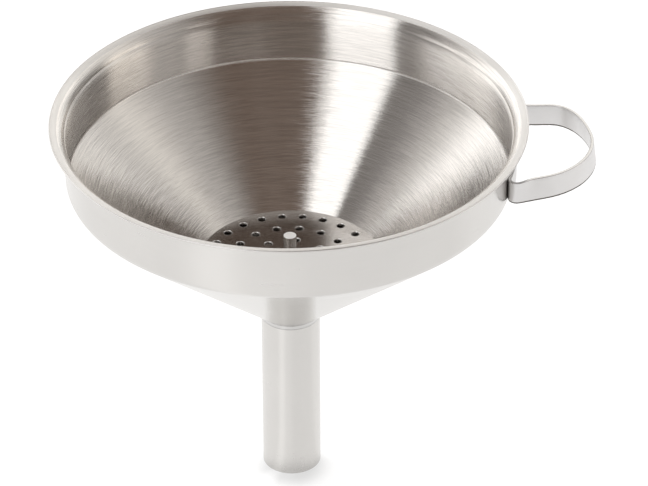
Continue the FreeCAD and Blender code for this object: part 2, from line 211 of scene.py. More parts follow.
class Graph:
    """Adds shader nodes to a tree and links them. A term is a number or a node's output."""

    def __init__(self, tree):
        self.tree = tree

    def add(self, kind, **settings):
        node = self.tree.nodes.new(kind)
        for key, setting in settings.items():
            setattr(node, key, setting)
        return node

    def link(self, output, socket):
        self.tree.links.new(output, socket)

    def place(self, kind):
        """The place (Object) or the direction (Generated) that is shaded."""
        return self.add("ShaderNodeTexCoord").outputs[kind]

    def split(self, vector):
        """The three parts of a vector."""
        node = self.add("ShaderNodeSeparateXYZ")
        self.link(vector, node.inputs[0])
        return node.outputs

    def math(self, operation, *terms):
        node = self.add("ShaderNodeMath", operation=operation)
        for term, socket in zip(terms, node.inputs):
            if isinstance(term, (int, float)):
                socket.default_value = term
            else:
                self.link(term, socket)
        return node.outputs[0]

    def blend(self, first, second, share):
        """A weighted mean of two numbers; share is the first one's weight."""
        return self.math(
            "ADD", self.math("MULTIPLY", first, share), self.math("MULTIPLY", second, 1 - share)
        )

    def distance(self, x, y):
        """Distance of (x, y) from the origin."""
        return self.math(
            "SQRT", self.math("ADD", self.math("MULTIPLY", x, x), self.math("MULTIPLY", y, y))
        )

    def noise(self, vector, scale, detail, roughness):
        node = self.add("ShaderNodeTexNoise")
        for name, number in (("Scale", scale), ("Detail", detail), ("Roughness", roughness)):
            node.inputs[name].default_value = number
        self.link(vector, node.inputs["Vector"])
        return node.outputs["Fac"]

    def ramp(self, factor, stops, low=0.0, high=1.0):
        """Colours at places from low to high, for a factor that runs from 0 to 1 over them."""
        node = self.add("ShaderNodeValToRGB")
        while len(node.color_ramp.elements) < len(stops):
            node.color_ramp.elements.new(1.0)
        for element, (place, colour) in zip(node.color_ramp.elements, stops):
            element.position = (place - low) / (high - low)
            element.color = (*colour, 1)
        self.link(factor, node.inputs["Fac"])
        return node.outputs["Color"]

    def remap(self, value, span, reach, kind="LINEAR"):
        """What lies as far along reach as the value lies along span, never outside reach."""
        node = self.add("ShaderNodeMapRange", interpolation_type=kind)
        for name, end in zip(("From Min", "From Max", "To Min", "To Max"), (*span, *reach)):
            node.inputs[name].default_value = end
        self.link(value, node.inputs["Value"])
        return node.outputs["Result"]

    def fade(self, value, span, reach=(0.0, 1.0)):
        """The same as remap, with a smooth start and end."""
        return self.remap(value, span, reach, "SMOOTHSTEP")

    def mixed(self, factor, first, second):
        """The first colour where the factor is 0, the second where it is 1."""
        node = self.add("ShaderNodeMix", data_type="RGBA")
        for name, term in (("Factor", factor), ("A", first), ("B", second)):
            self.link(term, node.inputs[name])
        return node.outputs["Result"]

    def bump(self, height, strength, distance, below=None):
        node = self.add("ShaderNodeBump")
        node.inputs["Strength"].default_value = strength
        node.inputs["Distance"].default_value = distance
        self.link(height, node.inputs["Height"])
        if below is not None:
            self.link(below, node.inputs["Normal"])
        return node.outputs["Normal"]


class Steel(Graph):
    """The nodes of one kind of steel surface."""

    def __init__(self, name, colour, roughness, anisotropy=0.0):
        self.material = bpy.data.materials.new(name)
        self.material.use_nodes = True
        super().__init__(self.material.node_tree)
        self.shader = self.tree.nodes["Principled BSDF"]
        self.shader.inputs["Metallic"].default_value = 1.0
        self.shader.inputs["Base Color"].default_value = (*colour, 1)
        self.shader.inputs["Roughness"].default_value = roughness
        self.shader.inputs["Anisotropic"].default_value = anisotropy

    def give(self, name, output):
        """Link an output to one of the shader's sockets."""
        self.link(output, self.shader.inputs[name])

    def turned_place(self, around, along):
        """Place on a turned surface: slow around the axis, fast along the outline.

        The two slopes of the cone weigh radius and height, so that the third value
        grows steadily along the cone and along the collar alike.
        """
        x, y, z = self.split(self.place("Object"))
        radius = self.distance(x, y)
        safe = self.math("MAXIMUM", radius, NEAR_AXIS)
        outline = self.math(
            "ADD",
            self.math("MULTIPLY", radius, math.cos(CONE_ANGLE)),
            self.math("MULTIPLY", z, math.sin(CONE_ANGLE)),
        )
        place = self.add("ShaderNodeCombineXYZ")
        self.link(self.math("MULTIPLY", self.math("DIVIDE", x, safe), around), place.inputs[0])
        self.link(self.math("MULTIPLY", self.math("DIVIDE", y, safe), around), place.inputs[1])
        self.link(self.math("MULTIPLY", outline, along), place.inputs[2])
        return place.outputs[0]

    def rings(self, around, along, detail, roughness):
        """Noise drawn out round the axis, with so many grains a metre along the outline."""
        return self.noise(self.turned_place(around, along), 1.0, detail, roughness)

    def clouds(self, scale, detail, roughness):
        """Noise that is even in every direction, with so many clouds a metre."""
        return self.noise(self.place("Object"), scale, detail, roughness)

    def round_tangent(self):
        """Aim the grain round the axis, which spreads highlights along the outline."""
        node = self.add("ShaderNodeTangent", direction_type="RADIAL", axis="Z")
        self.give("Tangent", node.outputs[0])
        self.shader.inputs["Anisotropic Rotation"].default_value = 0.25


# ---------------------------------------------------------------- materials

# Tone of the turned steel, and the span that most of a noise texture lies in.
STEEL = (0.665, 0.64, 0.615)
MIDDLE_OF_NOISE = (0.35, 0.65)

# The rings that turning leaves: how far their tone strays, how high the fine ones stand, and
# how high the coarse ones stand beside them.
RING_CONTRAST = 0.11
RING_HEIGHT = 0.045 * MM
COARSE_SHARE = 0.12

# Height of the sheet's slow ripple, of buffing marks, and of the grains of a sheared edge.
RIPPLE_HEIGHT = 0.12 * MM
MARK_HEIGHT = 0.004 * MM
SHEARED_HEIGHT = 0.05 * MM


def toned(colour, factor):
    """A colour made darker or lighter, with no part of it above 1."""
    return [min(1.0, channel * factor) for channel in colour]


def turned_steel(name, roughness, lift=0.0):
    """Steel with a turned grain: fine rings round the axis, in streaks of uneven length.

    lift is the slope of rings whose upper flank is the longer one, as a tool that moves
    downwards leaves them.
    """
    steel = Steel(name, STEEL, roughness, anisotropy=1.0)
    steel.round_tangent()
    fine = steel.rings(around=5.0, along=6000.0, detail=1.0, roughness=0.5)
    line = steel.rings(around=6.5, along=3400.0, detail=1.5, roughness=0.55)
    broad = steel.rings(around=1.2, along=420.0, detail=2.0, roughness=0.5)
    cloud = steel.clouds(scale=38.0, detail=3.0, roughness=0.55)
    grain = steel.blend(line, broad, 0.85)
    tone = steel.ramp(grain, [
        (0.36, toned(STEEL, 1 - RING_CONTRAST)),
        (0.5, STEEL),
        (0.64, toned(STEEL, 1 + RING_CONTRAST * 0.6)),
    ])
    steel.give("Base Color", tone)
    uneven = steel.blend(grain, cloud, 0.6)
    steel.give("Roughness", steel.remap(uneven, MIDDLE_OF_NOISE, (roughness * 0.9, roughness * 1.1)))
    below = None
    if lift:
        height = steel.split(steel.place("Object"))[2]
        below = steel.bump(steel.math("MULTIPLY", height, -lift), 1.0, 1.0)
    coarse = steel.bump(line, 1.0, RING_HEIGHT * COARSE_SHARE, below)
    steel.give("Normal", steel.bump(fine, 1.0, RING_HEIGHT, coarse))
    return steel.material


def polished_steel(name, colour, roughness, marks=0.25, spun=True, metal=1.0, ripple=0.25):
    """Polished steel: faint buffing marks, a slow ripple of the sheet and cloudy wear.

    The marks run round the axis on spun pieces; elsewhere they are a fine even grain.
    marks and ripple are the strengths of the two.
    """
    steel = Steel(name, colour, roughness, anisotropy=0.6 if spun else 0.0)
    steel.shader.inputs["Metallic"].default_value = metal
    if spun:
        steel.round_tangent()
        buffed = steel.rings(around=3.0, along=1500.0, detail=2.0, roughness=0.6)
    else:
        buffed = steel.clouds(scale=160.0, detail=2.0, roughness=0.5)
    cloud = steel.clouds(scale=30.0, detail=4.0, roughness=0.6)
    swell = steel.clouds(scale=26.0, detail=1.0, roughness=0.4)
    steel.give(
        "Base Color", steel.ramp(cloud, [(0.32, toned(colour, 0.965)), (0.68, toned(colour, 1.02))])
    )
    worn = steel.blend(buffed, cloud, 0.5)
    steel.give("Roughness", steel.remap(worn, MIDDLE_OF_NOISE, (roughness * 0.85, roughness * 1.18)))
    slow = steel.bump(swell, ripple, RIPPLE_HEIGHT)
    steel.give("Normal", steel.bump(buffed, marks, MARK_HEIGHT, slow))
    return steel.material


def sheared_steel(name, colour, roughness):
    """The broken, grainy metal of a sheared edge."""
    steel = Steel(name, colour, roughness)
    coarse = steel.clouds(scale=1900.0, detail=4.0, roughness=0.7)
    patch = steel.clouds(scale=300.0, detail=3.0, roughness=0.6)
    broken = steel.blend(coarse, patch, 0.6)
    tone = steel.ramp(broken, [
        (0.36, toned(colour, 0.45)), (0.52, colour), (0.66, toned(colour, 1.5)),
    ])
    steel.give("Base Color", tone)
    steel.give("Roughness", steel.remap(coarse, (0.3, 0.7), (roughness * 0.8, roughness * 1.25)))
    steel.give("Normal", steel.bump(broken, 0.6, SHEARED_HEIGHT))
    return steel.material


TURNED = turned_steel("turned_bowl_steel", 0.19)
COLLAR = turned_steel("turned_collar_steel", 0.25, lift=0.45)
POLISHED = polished_steel("polished_steel", (0.655, 0.64, 0.62), 0.24)
LIP = polished_steel("rounded_lip_steel", (0.72, 0.705, 0.69), 0.55)
# Lighter steel on the fold inside the bowl: a painted highlight line along the fold.
FOLD_HIGHLIGHT = polished_steel("fold_painted_highlight_steel", (0.86, 0.84, 0.82), 0.36)
WELD = polished_steel("weld_steel", (0.60, 0.59, 0.58), 0.2)
STRAP = polished_steel("satin_strap_steel", (0.715, 0.705, 0.70), 0.40, marks=0.12, spun=False)
# Near-black steel on the strap's rough lower band: a sheared, grainy edge, with painted shade along
# the lower edge.
STRAP_EDGE_SHADE = sheared_steel("sheared_strap_painted_shade_steel", (0.105, 0.09, 0.075), 0.6)
STRAP_TOP = polished_steel("eased_strap_steel", (0.49, 0.485, 0.49), 0.2, marks=0.1, spun=False)
DISC = polished_steel(
    "strainer_disc_steel", (0.65, 0.63, 0.61), 0.10, marks=0.1, spun=False, ripple=0.04
)
HOLE = polished_steel("punched_hole_steel", (0.72, 0.71, 0.70), 0.25)
POST = polished_steel("strainer_post_steel", (0.62, 0.60, 0.58), 0.22)
# A near-white, hardly metallic colour on the post's rough end: a painted highlight on the steel.
POST_END_HIGHLIGHT = polished_steel(
    "strainer_post_end_painted_highlight", (0.98, 0.98, 0.97), 0.6, marks=0.1, spun=False, metal=0.1
)


# ---------------------------------------------------------------- bowl

# How far the sheet is out of round, from which radius outwards, and over how much this grows.
OUT_OF_ROUND = 0.012 * MM
RIPPLE_FROM = 20 * MM
RIPPLE_OVER = 45 * MM

# Points of the outline for which a finish runs on: the lip's and the flare's past the middle of
# the lip's upper edge, and the fold's, a painted highlight, to either side.
LIP_POINTS = 8
FLARE_POINTS = 16
FOLD_POINTS = 4


def sheet_ripple(radius, turn, height):
    """The spun sheet is a few hundredths out of round, most of all at the lip."""
    reach = min(1.0, max(0.0, (radius - RIPPLE_FROM) / RIPPLE_OVER))
    wave = math.cos(2 * turn + 0.7) + 0.6 * math.cos(5 * turn + 2.1 + 20 * height)
    wave += 0.4 * math.cos(9 * turn + 0.4 - 35 * height)
    radius -= OUT_OF_ROUND * reach * (2.0 - wave)
    return radius * math.cos(turn), radius * math.sin(turn), height


def make_bowl():
    collar_in = COLLAR_RADIUS - GAUGE
    flare_in = RIM_RADIUS - collar_in
    flare_z = RIM_HEIGHT - flare_in
    tilt = math.degrees(CONE_ANGLE)
    neck_in = BORE - GAUGE
    neck_bend_in = NECK_BEND + GAUGE

    # The outer side, from the neck up to the lip.
    neck_z = cone_outside(BORE) - NECK_BEND * HALF_TURN
    neck_out = arc(BORE + NECK_BEND, neck_z, NECK_BEND, 180, 90 + tilt, 8)
    shoulder_z = cone_outside(COLLAR_RADIUS) + SHOULDER_RADIUS * HALF_TURN
    shoulder_out = arc(
        COLLAR_RADIUS - SHOULDER_RADIUS, shoulder_z, SHOULDER_RADIUS, tilt - 90, 0, 12
    )
    edge_turn = math.degrees(math.asin(LIP_EDGE / flare_in))
    flare_out = arc(RIM_RADIUS, flare_z, flare_in - GAUGE, 180, 90 + edge_turn, 14)
    lip_low = arc(
        RIM_RADIUS - LIP_EDGE, RIM_HEIGHT - GAUGE + LIP_EDGE, LIP_EDGE, -90, 0, 4
    )
    lip_high = arc(RIM_RADIUS - LIP_EDGE, RIM_HEIGHT - LIP_EDGE, LIP_EDGE, 0, 90, 4)

    # The inner side, from the lip down to the neck's end.
    flare = arc(RIM_RADIUS, flare_z, flare_in, 90 + edge_turn, 180, 18)
    shoulder_in_z = cone_inside(collar_in) + FOLD_INSIDE * HALF_TURN
    shoulder = arc(collar_in - FOLD_INSIDE, shoulder_in_z, FOLD_INSIDE, 0, tilt - 90, 12)
    neck_in_z = cone_inside(neck_in) - neck_bend_in * HALF_TURN
    neck = arc(neck_in + neck_bend_in, neck_in_z, neck_bend_in, 90 + tilt, 180, 8)
    foot = [(neck_in, NECK_END), (BORE, NECK_END)]

    outline = joined(
        neck_out,
        run(neck_out[-1], shoulder_out[0], 30),
        shoulder_out,
        run(shoulder_out[-1], flare_out[0], 6),
        flare_out,
        lip_low,
        lip_high,
        flare,
        run(flare[-1], shoulder[0], 6),
        shoulder,
        run(shoulder[-1], neck[0], 30),
        neck,
        run(neck[-1], foot[0], 4),
        foot,
        run(foot[1], neck_out[0], 4),
    )
    lip_start, lip_end = outline.index(lip_low[2]), outline.index(lip_high[2])
    fold, inside_end = outline.index(shoulder[4]), outline.index(neck[-1])
    order = {point: index for index, point in enumerate(outline)}
    outer, cone, lip, collar, highlit_fold = range(5)

    def finish(point, _):
        index = order[point]
        if not lip_start <= index < inside_end:
            return outer
        if index < lip_end + LIP_POINTS:
            return lip
        if index < lip_end + FLARE_POINTS:
            return cone
        # The fold takes the lighter steel, a painted highlight.
        if abs(index - fold) < FOLD_POINTS:
            return highlit_fold
        return collar if index < fold else cone

    finishes = [POLISHED, TURNED, LIP, COLLAR, FOLD_HIGHLIGHT]
    return lathe("funnel_bowl", outline, BOWL_STEPS, finishes, finish, sheet_ripple)


# ---------------------------------------------------------------- spout and weld

def make_spout():
    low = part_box("spout")[0].z
    edge, inner_edge = 0.08 * MM, 0.2 * MM
    outline = joined(
        arc(SPOUT_RADIUS - edge, low + edge, edge, -90, 0, 4),
        run((SPOUT_RADIUS, low + edge), (SPOUT_RADIUS, SPOUT_TOP - edge), 24),
        arc(SPOUT_RADIUS - edge, SPOUT_TOP - edge, edge, 0, 90, 4),
        [(BORE, SPOUT_TOP), (BORE, low + inner_edge)],
        arc(BORE + inner_edge, low + inner_edge, inner_edge, 180, 270, 4),
    )
    return lathe("funnel_spout", outline, TUBE_STEPS, [POLISHED])


def make_weld():
    reach, drop, face = 1.1 * MM, 0.5 * MM, 3.0 * MM
    toe = (SPOUT_RADIUS + reach, cone_outside(SPOUT_RADIUS + reach))
    heel = (SPOUT_RADIUS, SPOUT_TOP - drop)
    chord = Vector((toe[0] - heel[0], toe[1] - heel[1]))
    middle = Vector(((toe[0] + heel[0]) / 2, (toe[1] + heel[1]) / 2))
    away = Vector((chord.y, -chord.x)).normalized()
    centre = middle + away * math.sqrt(face ** 2 - (chord.length / 2) ** 2)
    start = math.degrees(math.atan2(heel[1] - centre.y, heel[0] - centre.x))
    end = math.degrees(math.atan2(toe[1] - centre.y, toe[0] - centre.x))
    foot = BORE + NECK_BEND * HALF_TURN * math.cos(CONE_ANGLE)
    outline = joined(
        arc(centre.x, centre.y, face, start % 360, end % 360, 10),
        [(foot, cone_outside(foot)), (BORE, SPOUT_TOP), (SPOUT_RADIUS, SPOUT_TOP)],
    )
    return lathe("funnel_spout_weld", outline, TUBE_STEPS, [WELD])


# ---------------------------------------------------------------- handle

# The strap's path seen from above: a bow, two straight legs, a corner between the rear leg and
# the bow, a bend at each root, and a base round the collar with a gap between its two ends.
# Angles are in degrees from +X.
STRAP_THICKNESS = 1.0 * MM
STRAP_BASE = COLLAR_RADIUS + STRAP_THICKNESS / 2
BOW_RADIUS = 22.4 * MM
BOW_CENTRE = Vector((67.6 * MM, 3.6 * MM))
REAR_LEG_ANGLE = -5.25
REAR_LEG_OFFSET = 19.7 * MM
REAR_CORNER = 8.0 * MM
FRONT_LEG_ANGLE = 17.3
ROOT_BEND = 2.0 * MM
STRAP_GAP = 1.5 * MM

# How far the bow leans in at the top, and the lengths from the rear root and to the front one
# over which the lean grows.
STRAP_LEAN = 0.9 * MM
REAR_LEAN = (16 * MM, 30 * MM)
FRONT_LEAN = (1 * MM, 6 * MM)

# How far the rear corner is bent out, and the lengths from the rear root over which that comes
# and goes.
CORNER_FULL = 0.9 * MM
CORNER_RISE = (7 * MM, 18 * MM)
CORNER_FALL = (20 * MM, 34 * MM)

# The strap's edges: the round of the eased upper ones and of the sheared lower ones, the height
# of the rough band over these, which is painted near-black as shade along the lower edge, and how
# ragged it is.
EASED_EDGE = 0.13 * MM
SHEARED_EDGE = 0.45 * MM
ROUGH_EDGE = 0.62 * MM
RAGGED = 0.06 * MM

# Spacing of the points along bends and roots, and the number of steps along a leg. The line is
# relaxed from so many points after the rear root to so many before the front one.
BEND_STEP = 0.35 * MM
ROOT_STEP = 0.2 * MM
LEG_STEPS = 20
REAR_HELD = 14
FRONT_HELD = 8
RELAX_ROUNDS = 24


def heading(degrees):
    return Vector((math.cos(math.radians(degrees)), math.sin(math.radians(degrees))))


def left_of(direction):
    return Vector((-direction.y, direction.x))


def touch(centre, radius, anchor, direction):
    """Where a line through anchor leaves a circle, going along direction."""
    foot = anchor + direction * (centre - anchor).dot(direction)
    return foot + direction * math.sqrt(radius ** 2 - (foot - centre).length_squared)


def plan_arc(centre, start, end, turn, step=BEND_STEP):
    """Points from start to end about a centre; turn is 1 for anticlockwise, -1 for clockwise."""
    first = math.atan2(start.y - centre.y, start.x - centre.x)
    last = math.atan2(end.y - centre.y, end.x - centre.x)
    sweep = (last - first) * turn % TAU
    radius = (start - centre).length
    count = max(6, round(radius * sweep / step))
    return [
        centre + Vector((math.cos(first + turn * sweep * i / count),
                         math.sin(first + turn * sweep * i / count))) * radius
        for i in range(count + 1)
    ]


def plan_leg(start, end):
    """Points from start to end along a straight leg."""
    return [start.lerp(end, i / LEG_STEPS) for i in range(LEG_STEPS + 1)]


def strap_line():
    """The middle line of the strap seen from above, from one end to the other."""
    axis = Vector((0, 0))
    rear_way, front_way = heading(REAR_LEG_ANGLE), heading(FRONT_LEG_ANGLE)
    rear_point = BOW_CENTRE + left_of(rear_way) * REAR_LEG_OFFSET
    bow_end = BOW_CENTRE - left_of(front_way) * BOW_RADIUS
    corner_centre = touch(
        BOW_CENTRE, BOW_RADIUS - REAR_CORNER, rear_point - left_of(rear_way) * REAR_CORNER, rear_way
    )
    corner_start = corner_centre + left_of(rear_way) * REAR_CORNER
    bow_start = corner_centre + (corner_centre - BOW_CENTRE).normalized() * REAR_CORNER
    rear_root = touch(
        axis, STRAP_BASE + ROOT_BEND, rear_point - left_of(rear_way) * ROOT_BEND, rear_way
    )
    front_root = touch(
        axis, STRAP_BASE + ROOT_BEND, bow_end + left_of(front_way) * ROOT_BEND, front_way
    )
    rear_leg_start = rear_root + left_of(rear_way) * ROOT_BEND
    front_leg_end = front_root - left_of(front_way) * ROOT_BEND
    base_rear = rear_root.normalized() * STRAP_BASE
    base_front = front_root.normalized() * STRAP_BASE
    gap_turn = STRAP_GAP / STRAP_BASE
    start = Vector((STRAP_BASE, 0))
    finish = heading(-math.degrees(gap_turn)) * STRAP_BASE
    return chained(
        plan_arc(axis, start, base_rear, 1),
        plan_arc(rear_root, base_rear, rear_leg_start, -1, ROOT_STEP),
        plan_leg(rear_leg_start, corner_start),
        plan_arc(corner_centre, corner_start, bow_start, -1),
        plan_arc(BOW_CENTRE, bow_start, bow_end, -1),
        plan_leg(bow_end, front_leg_end),
        plan_arc(front_root, front_leg_end, base_front, -1, ROOT_STEP),
        plan_arc(axis, base_front, finish, 1),
    )


def relaxed(points, first, last):
    """The line with the changes of curvature between two of its points spread out."""
    points = list(points)
    for _ in range(RELAX_ROUNDS):
        points[first:last + 1] = [
            (points[i - 1] + points[i] * 2 + points[i + 1]) / 4 for i in range(first, last + 1)
        ]
    return points


def eased(value, span):
    """0 below the span, 1 above it, with a smooth rise between."""
    share = min(1.0, max(0.0, (value - span[0]) / (span[1] - span[0])))
    return share * share * (3 - 2 * share)


def strap_section(half_height):
    """The strap's section as (across, up) points: eased edges above, sheared ones below."""
    half = STRAP_THICKNESS / 2
    side, top = half - EASED_EDGE, half_height - EASED_EDGE
    foot_side, foot = half - SHEARED_EDGE, SHEARED_EDGE - half_height
    rough = ROUGH_EDGE - half_height
    return joined(
        arc(side, top, EASED_EDGE, 0, 90, 5),
        arc(-side, top, EASED_EDGE, 90, 180, 5),
        run((-half, top), (-half, rough), 6),
        [(-half, rough)],
        arc(-foot_side, foot, SHEARED_EDGE, 180, 270, 5),
        arc(foot_side, foot, SHEARED_EDGE, 270, 360, 5),
        [(half, rough)],
        run((half, rough), (half, top), 6),
    )


def strap_stations():
    """Points along the strap, each with the way across the strap and how far it leans there."""
    line = strap_line()
    loop = [point.length > STRAP_BASE + ROOT_BEND for point in line]
    first, last = loop.index(True), len(loop) - 1 - loop[::-1].index(True)
    line = relaxed(line, first + REAR_HELD, last - FRONT_HELD)
    length = [0.0]
    for before, after in zip(line, line[1:]):
        length.append(length[-1] + (after - before).length)
    stations = []
    for index, point in enumerate(line):
        before, after = line[max(index - 1, 0)], line[min(index + 1, len(line) - 1)]
        side = left_of((after - before).normalized())
        from_rear, to_front = length[index] - length[first], length[last] - length[index]
        # The bow leans: its upper edge is drawn in, but not where it meets the collar.
        lean = STRAP_LEAN * eased(from_rear, REAR_LEAN) * eased(to_front, FRONT_LEAN)
        # The rear corner is bent further out than its arc.
        full = CORNER_FULL * eased(from_rear, CORNER_RISE) * (1 - eased(from_rear, CORNER_FALL))
        stations.append((point + side * full, side, lean))
    return stations


def make_strap():
    low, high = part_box("handle_strap")
    middle = (low.z + high.z) / 2
    half_height = (high.z - low.z) / 2
    rough = ROUGH_EDGE - half_height
    section = strap_section(half_height)
    stations = strap_stations()
    face, edge, top = 0, 1, 2

    # The rough band at the foot takes the near-black edge steel, painted shade along the lower edge.
    def finish(level):
        if level < rough:
            return edge
        return top if level > half_height - EASED_EDGE / 2 else face

    jitter = random.Random(4)
    vertices, faces, indices = [], [], []
    for point, side, lean in stations:
        ragged = RAGGED * jitter.random()
        for across, up in section:
            raised = ragged if up < rough - TINY else 0.0
            place = point + side * (across - lean * (up + half_height) / (2 * half_height))
            vertices.append((place.x, place.y, middle + up + raised))
    count = len(section)
    for start in range(0, len(vertices) - count, count):
        for step in range(count):
            after = (step + 1) % count
            faces.append((start + step, start + after, start + count + after, start + count + step))
            indices.append(finish((section[step][1] + section[after][1]) / 2))
    faces.append(tuple(range(count)))
    faces.append(tuple(reversed(range(len(vertices) - count, len(vertices)))))
    indices += [edge, edge]
    piece = new_piece("loop_handle", vertices, faces, [STRAP, STRAP_EDGE_SHADE, STRAP_TOP], indices)
    face_outwards(piece)
    return piece


# ---------------------------------------------------------------- strainer

# Rings of holes, as radius and number, each with a hole at the same bearing in degrees.
HOLE_RADIUS = 1.15 * MM
HOLE_EDGE = 0.25 * MM
HOLE_BEARING = 35.6
HOLE_RINGS = ((24.25 * MM, 24), (17.65 * MM, 16), (11.15 * MM, 8))
RIVET_RADIUS = 1.25 * MM
DISC_STEPS = 192
HOLE_STEPS = 28
# A triangle whose middle is within this share of a hole's radius fills the hole.
HOLE_SHARE = 0.995


def ring_points(centre, radius, steps):
    return [
        Vector((centre[0] + radius * math.cos(TAU * i / steps),
                centre[1] + radius * math.sin(TAU * i / steps)))
        for i in range(steps)
    ]


def plate_with_holes(circles):
    """Triangles of a round plate: circles[0] is its edge and the others are its holes."""
    points, edges = [], []
    for centre, radius, steps in circles:
        start = len(points)
        points += ring_points(centre, radius, steps)
        edges += [(start + i, start + (i + 1) % steps) for i in range(steps)]
    whole_hull, nearness = 0, 1e-9
    places, _, triangles, *_ = delaunay_2d_cdt(points, edges, [], whole_hull, nearness)
    (edge_centre, edge_radius, _), *holes = circles
    kept = []
    for triangle in triangles:
        middle = sum((places[corner] for corner in triangle), Vector((0, 0))) / 3
        on_plate = (middle - Vector(edge_centre)).length < edge_radius
        in_hole = any(
            (middle - Vector(centre)).length < radius * HOLE_SHARE for centre, radius, _ in holes
        )
        if on_plate and not in_hole:
            kept.append(tuple(triangle))
    return places, kept


def make_disc():
    low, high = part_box("strainer_disc")
    radius = high.x
    rim = 0.12 * MM
    flat_finish, edge_finish = 0, 1
    holes = []
    for ring, number in HOLE_RINGS:
        for index in range(number):
            bearing = math.radians(HOLE_BEARING + 360 * index / number)
            holes.append((ring * math.cos(bearing), ring * math.sin(bearing)))

    # The flat top and underside, then the edge, and the rolled mouth and wall of every hole.
    plate = [((0, 0), radius - rim, DISC_STEPS), ((0, 0), RIVET_RADIUS, HOLE_STEPS)]
    top = plate + [(hole, HOLE_RADIUS + HOLE_EDGE, HOLE_STEPS) for hole in holes]
    under = plate + [(hole, HOLE_RADIUS, HOLE_STEPS) for hole in holes]
    vertices, faces, indices = [], [], []
    for circles, height, flip in ((top, high.z, False), (under, low.z, True)):
        places, triangles = plate_with_holes(circles)
        start = len(vertices)
        vertices += [(p.x, p.y, height) for p in places]
        for triangle in triangles:
            corners = [start + i for i in triangle]
            faces.append(tuple(reversed(corners)) if flip else tuple(corners))
            indices.append(flat_finish)

    def wall(centre, rows, steps):
        start = len(vertices)
        for row_radius, height in rows:
            vertices.extend((p.x, p.y, height) for p in ring_points(centre, row_radius, steps))
        for row in range(len(rows) - 1):
            for i in range(steps):
                j = (i + 1) % steps
                faces.append((
                    start + row * steps + i, start + (row + 1) * steps + i,
                    start + (row + 1) * steps + j, start + row * steps + j,
                ))
                indices.append(edge_finish)

    edge = arc(radius - rim, high.z - rim, rim, 90, 0, 4)
    edge += arc(radius - rim, low.z + rim, rim, 0, -90, 4)
    wall((0, 0), edge, DISC_STEPS)
    mouth = [
        (HOLE_RADIUS + HOLE_EDGE - inward, up)
        for inward, up in arc(0, high.z - HOLE_EDGE, HOLE_EDGE, 90, 0, 5)
    ]
    for hole in holes:
        wall(hole, mouth + [(HOLE_RADIUS, low.z)], HOLE_STEPS)
    wall((0, 0), [(RIVET_RADIUS, high.z), (RIVET_RADIUS, low.z)], HOLE_STEPS)
    piece = new_piece("strainer_plate", vertices, faces, [DISC, HOLE], indices)
    face_outwards(piece, doubles=1e-7)
    piece.data.set_sharp_from_angle(angle=math.radians(35))
    # The flat faces take nothing of the slope of the mouths round the holes.
    for polygon in piece.data.polygons:
        if polygon.material_index == flat_finish:
            polygon.use_smooth = False
    return piece


def make_post():
    low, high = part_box("strainer_post")
    disc_low, disc_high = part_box("strainer_disc")
    post = 1.95 * MM
    head = high.x
    dome = disc_low.z - low.z
    sphere = (head ** 2 + dome ** 2) / (2 * dome)
    open_turn = math.degrees(math.asin(head / sphere))
    edge = 0.2 * MM
    dome_arc = arc(0, low.z + sphere, sphere, -90, -90 + open_turn, 8)
    outline = joined(
        [(0, low.z)],
        dome_arc[1:],
        [(RIVET_RADIUS, disc_low.z), (RIVET_RADIUS, disc_high.z)],
        [(post, disc_high.z)],
        run((post, disc_high.z), (post, high.z - edge), 10),
        arc(post - edge, high.z - edge, edge, 0, 90, 5),
        run((post - edge, high.z), (0, high.z), 4),
        [(0, high.z)],
    )
    top = high.z - edge / 2
    # The flat end takes the near-white colour, a painted highlight.
    side_finish, highlight_finish = 0, 1

    def finish(start, end):
        return highlight_finish if min(start[1], end[1]) > top else side_finish

    piece = lathe("strainer_lifting_post", outline, POST_STEPS, [POST, POST_END_HIGHLIGHT], finish)
    piece.data.set_sharp_from_angle(angle=math.radians(50))
    return piece


# ---------------------------------------------------------------- studio

# The floor is a square of white paper just below the spout: half its width, how far below it
# lies, how much it glows and how much light it scatters besides.
FLOOR_HALF = 6.0
FLOOR_DROP = 0.05 * MM
FLOOR_GLOW = 0.93
FLOOR_SCATTER = 0.22

# A painted shadow at the spout's foot: the share of the glow that is left there, how far before
# the spout this patch is centred, and the distances from there over which the glow comes back.
SHADOW_GLOW = 0.70
SHADOW_FORWARD = 5 * MM
SHADOW_FADE = (SPOUT_RADIUS * 0.6, SPOUT_RADIUS + 5 * MM)

# Sectors of the floor that glow more or less than the rest, a painted pool of light and a
# painted shade: bearings in degrees over which a sector comes in and goes out again, and the change.
FLOOR_LIGHT_AND_SHADE = (
    ((-142, -127), (-122, -106), 0.14),
    ((-104, -76), (-15, 5), -0.07),
)


